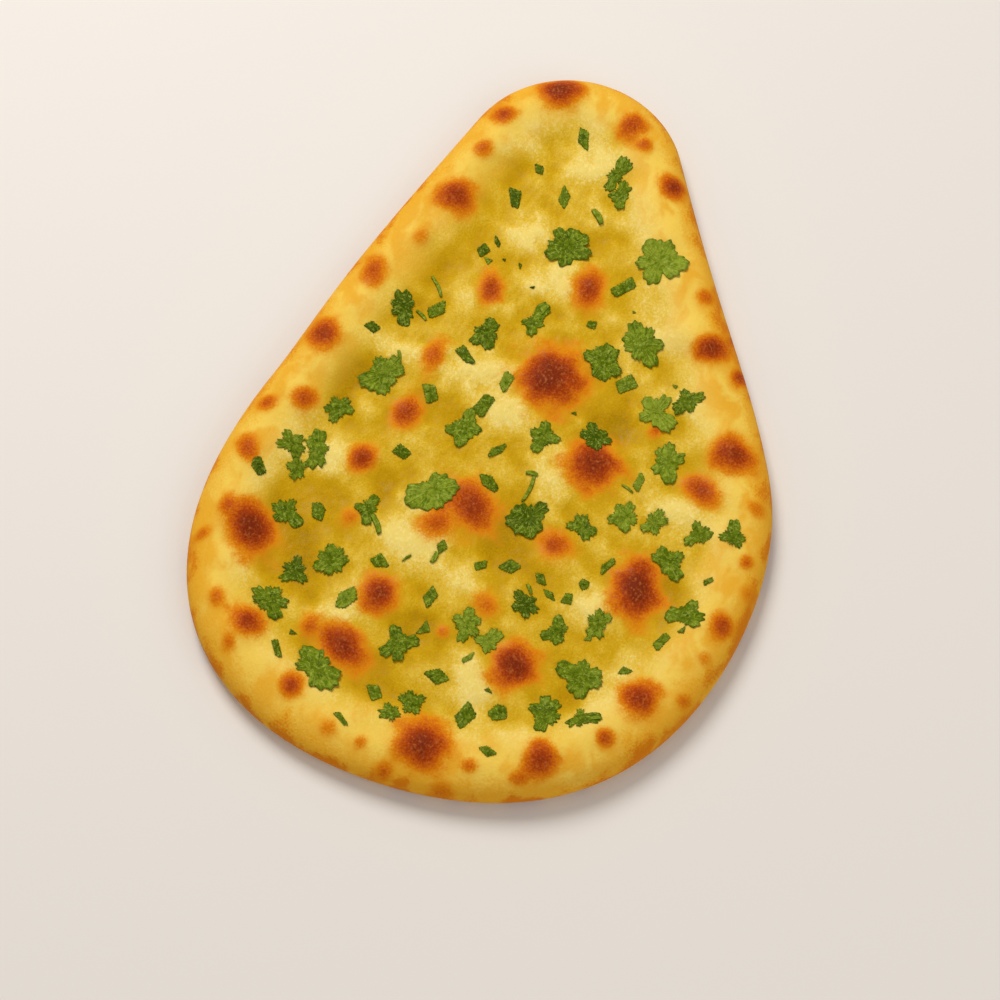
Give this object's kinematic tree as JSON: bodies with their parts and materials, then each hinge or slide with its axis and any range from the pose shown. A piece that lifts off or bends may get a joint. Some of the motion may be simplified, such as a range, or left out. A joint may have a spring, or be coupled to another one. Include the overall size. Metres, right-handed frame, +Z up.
{
  "type": "naan bread",
  "caption": "Teardrop leavened flatbread with a puffed, rounded rim, a lumpy blistered middle and a flat underside.",
  "frame": {"origin": "middle of the footprint's box, on the surface the bread lies on", "axes": "+Z up out of the top, +Y along the length towards the narrow end, +X to the right when looking down with the narrow end away from you"},
  "size_m": [0.1878, 0.2683, 0.016],
  "materials": {
    "baked_crust": "baked dough brushed with butter, satin, browned on its blisters and edge"
  },
  "bodies": {
    "root": {"naan": "baked_crust"}
  },
  "joints": []
}
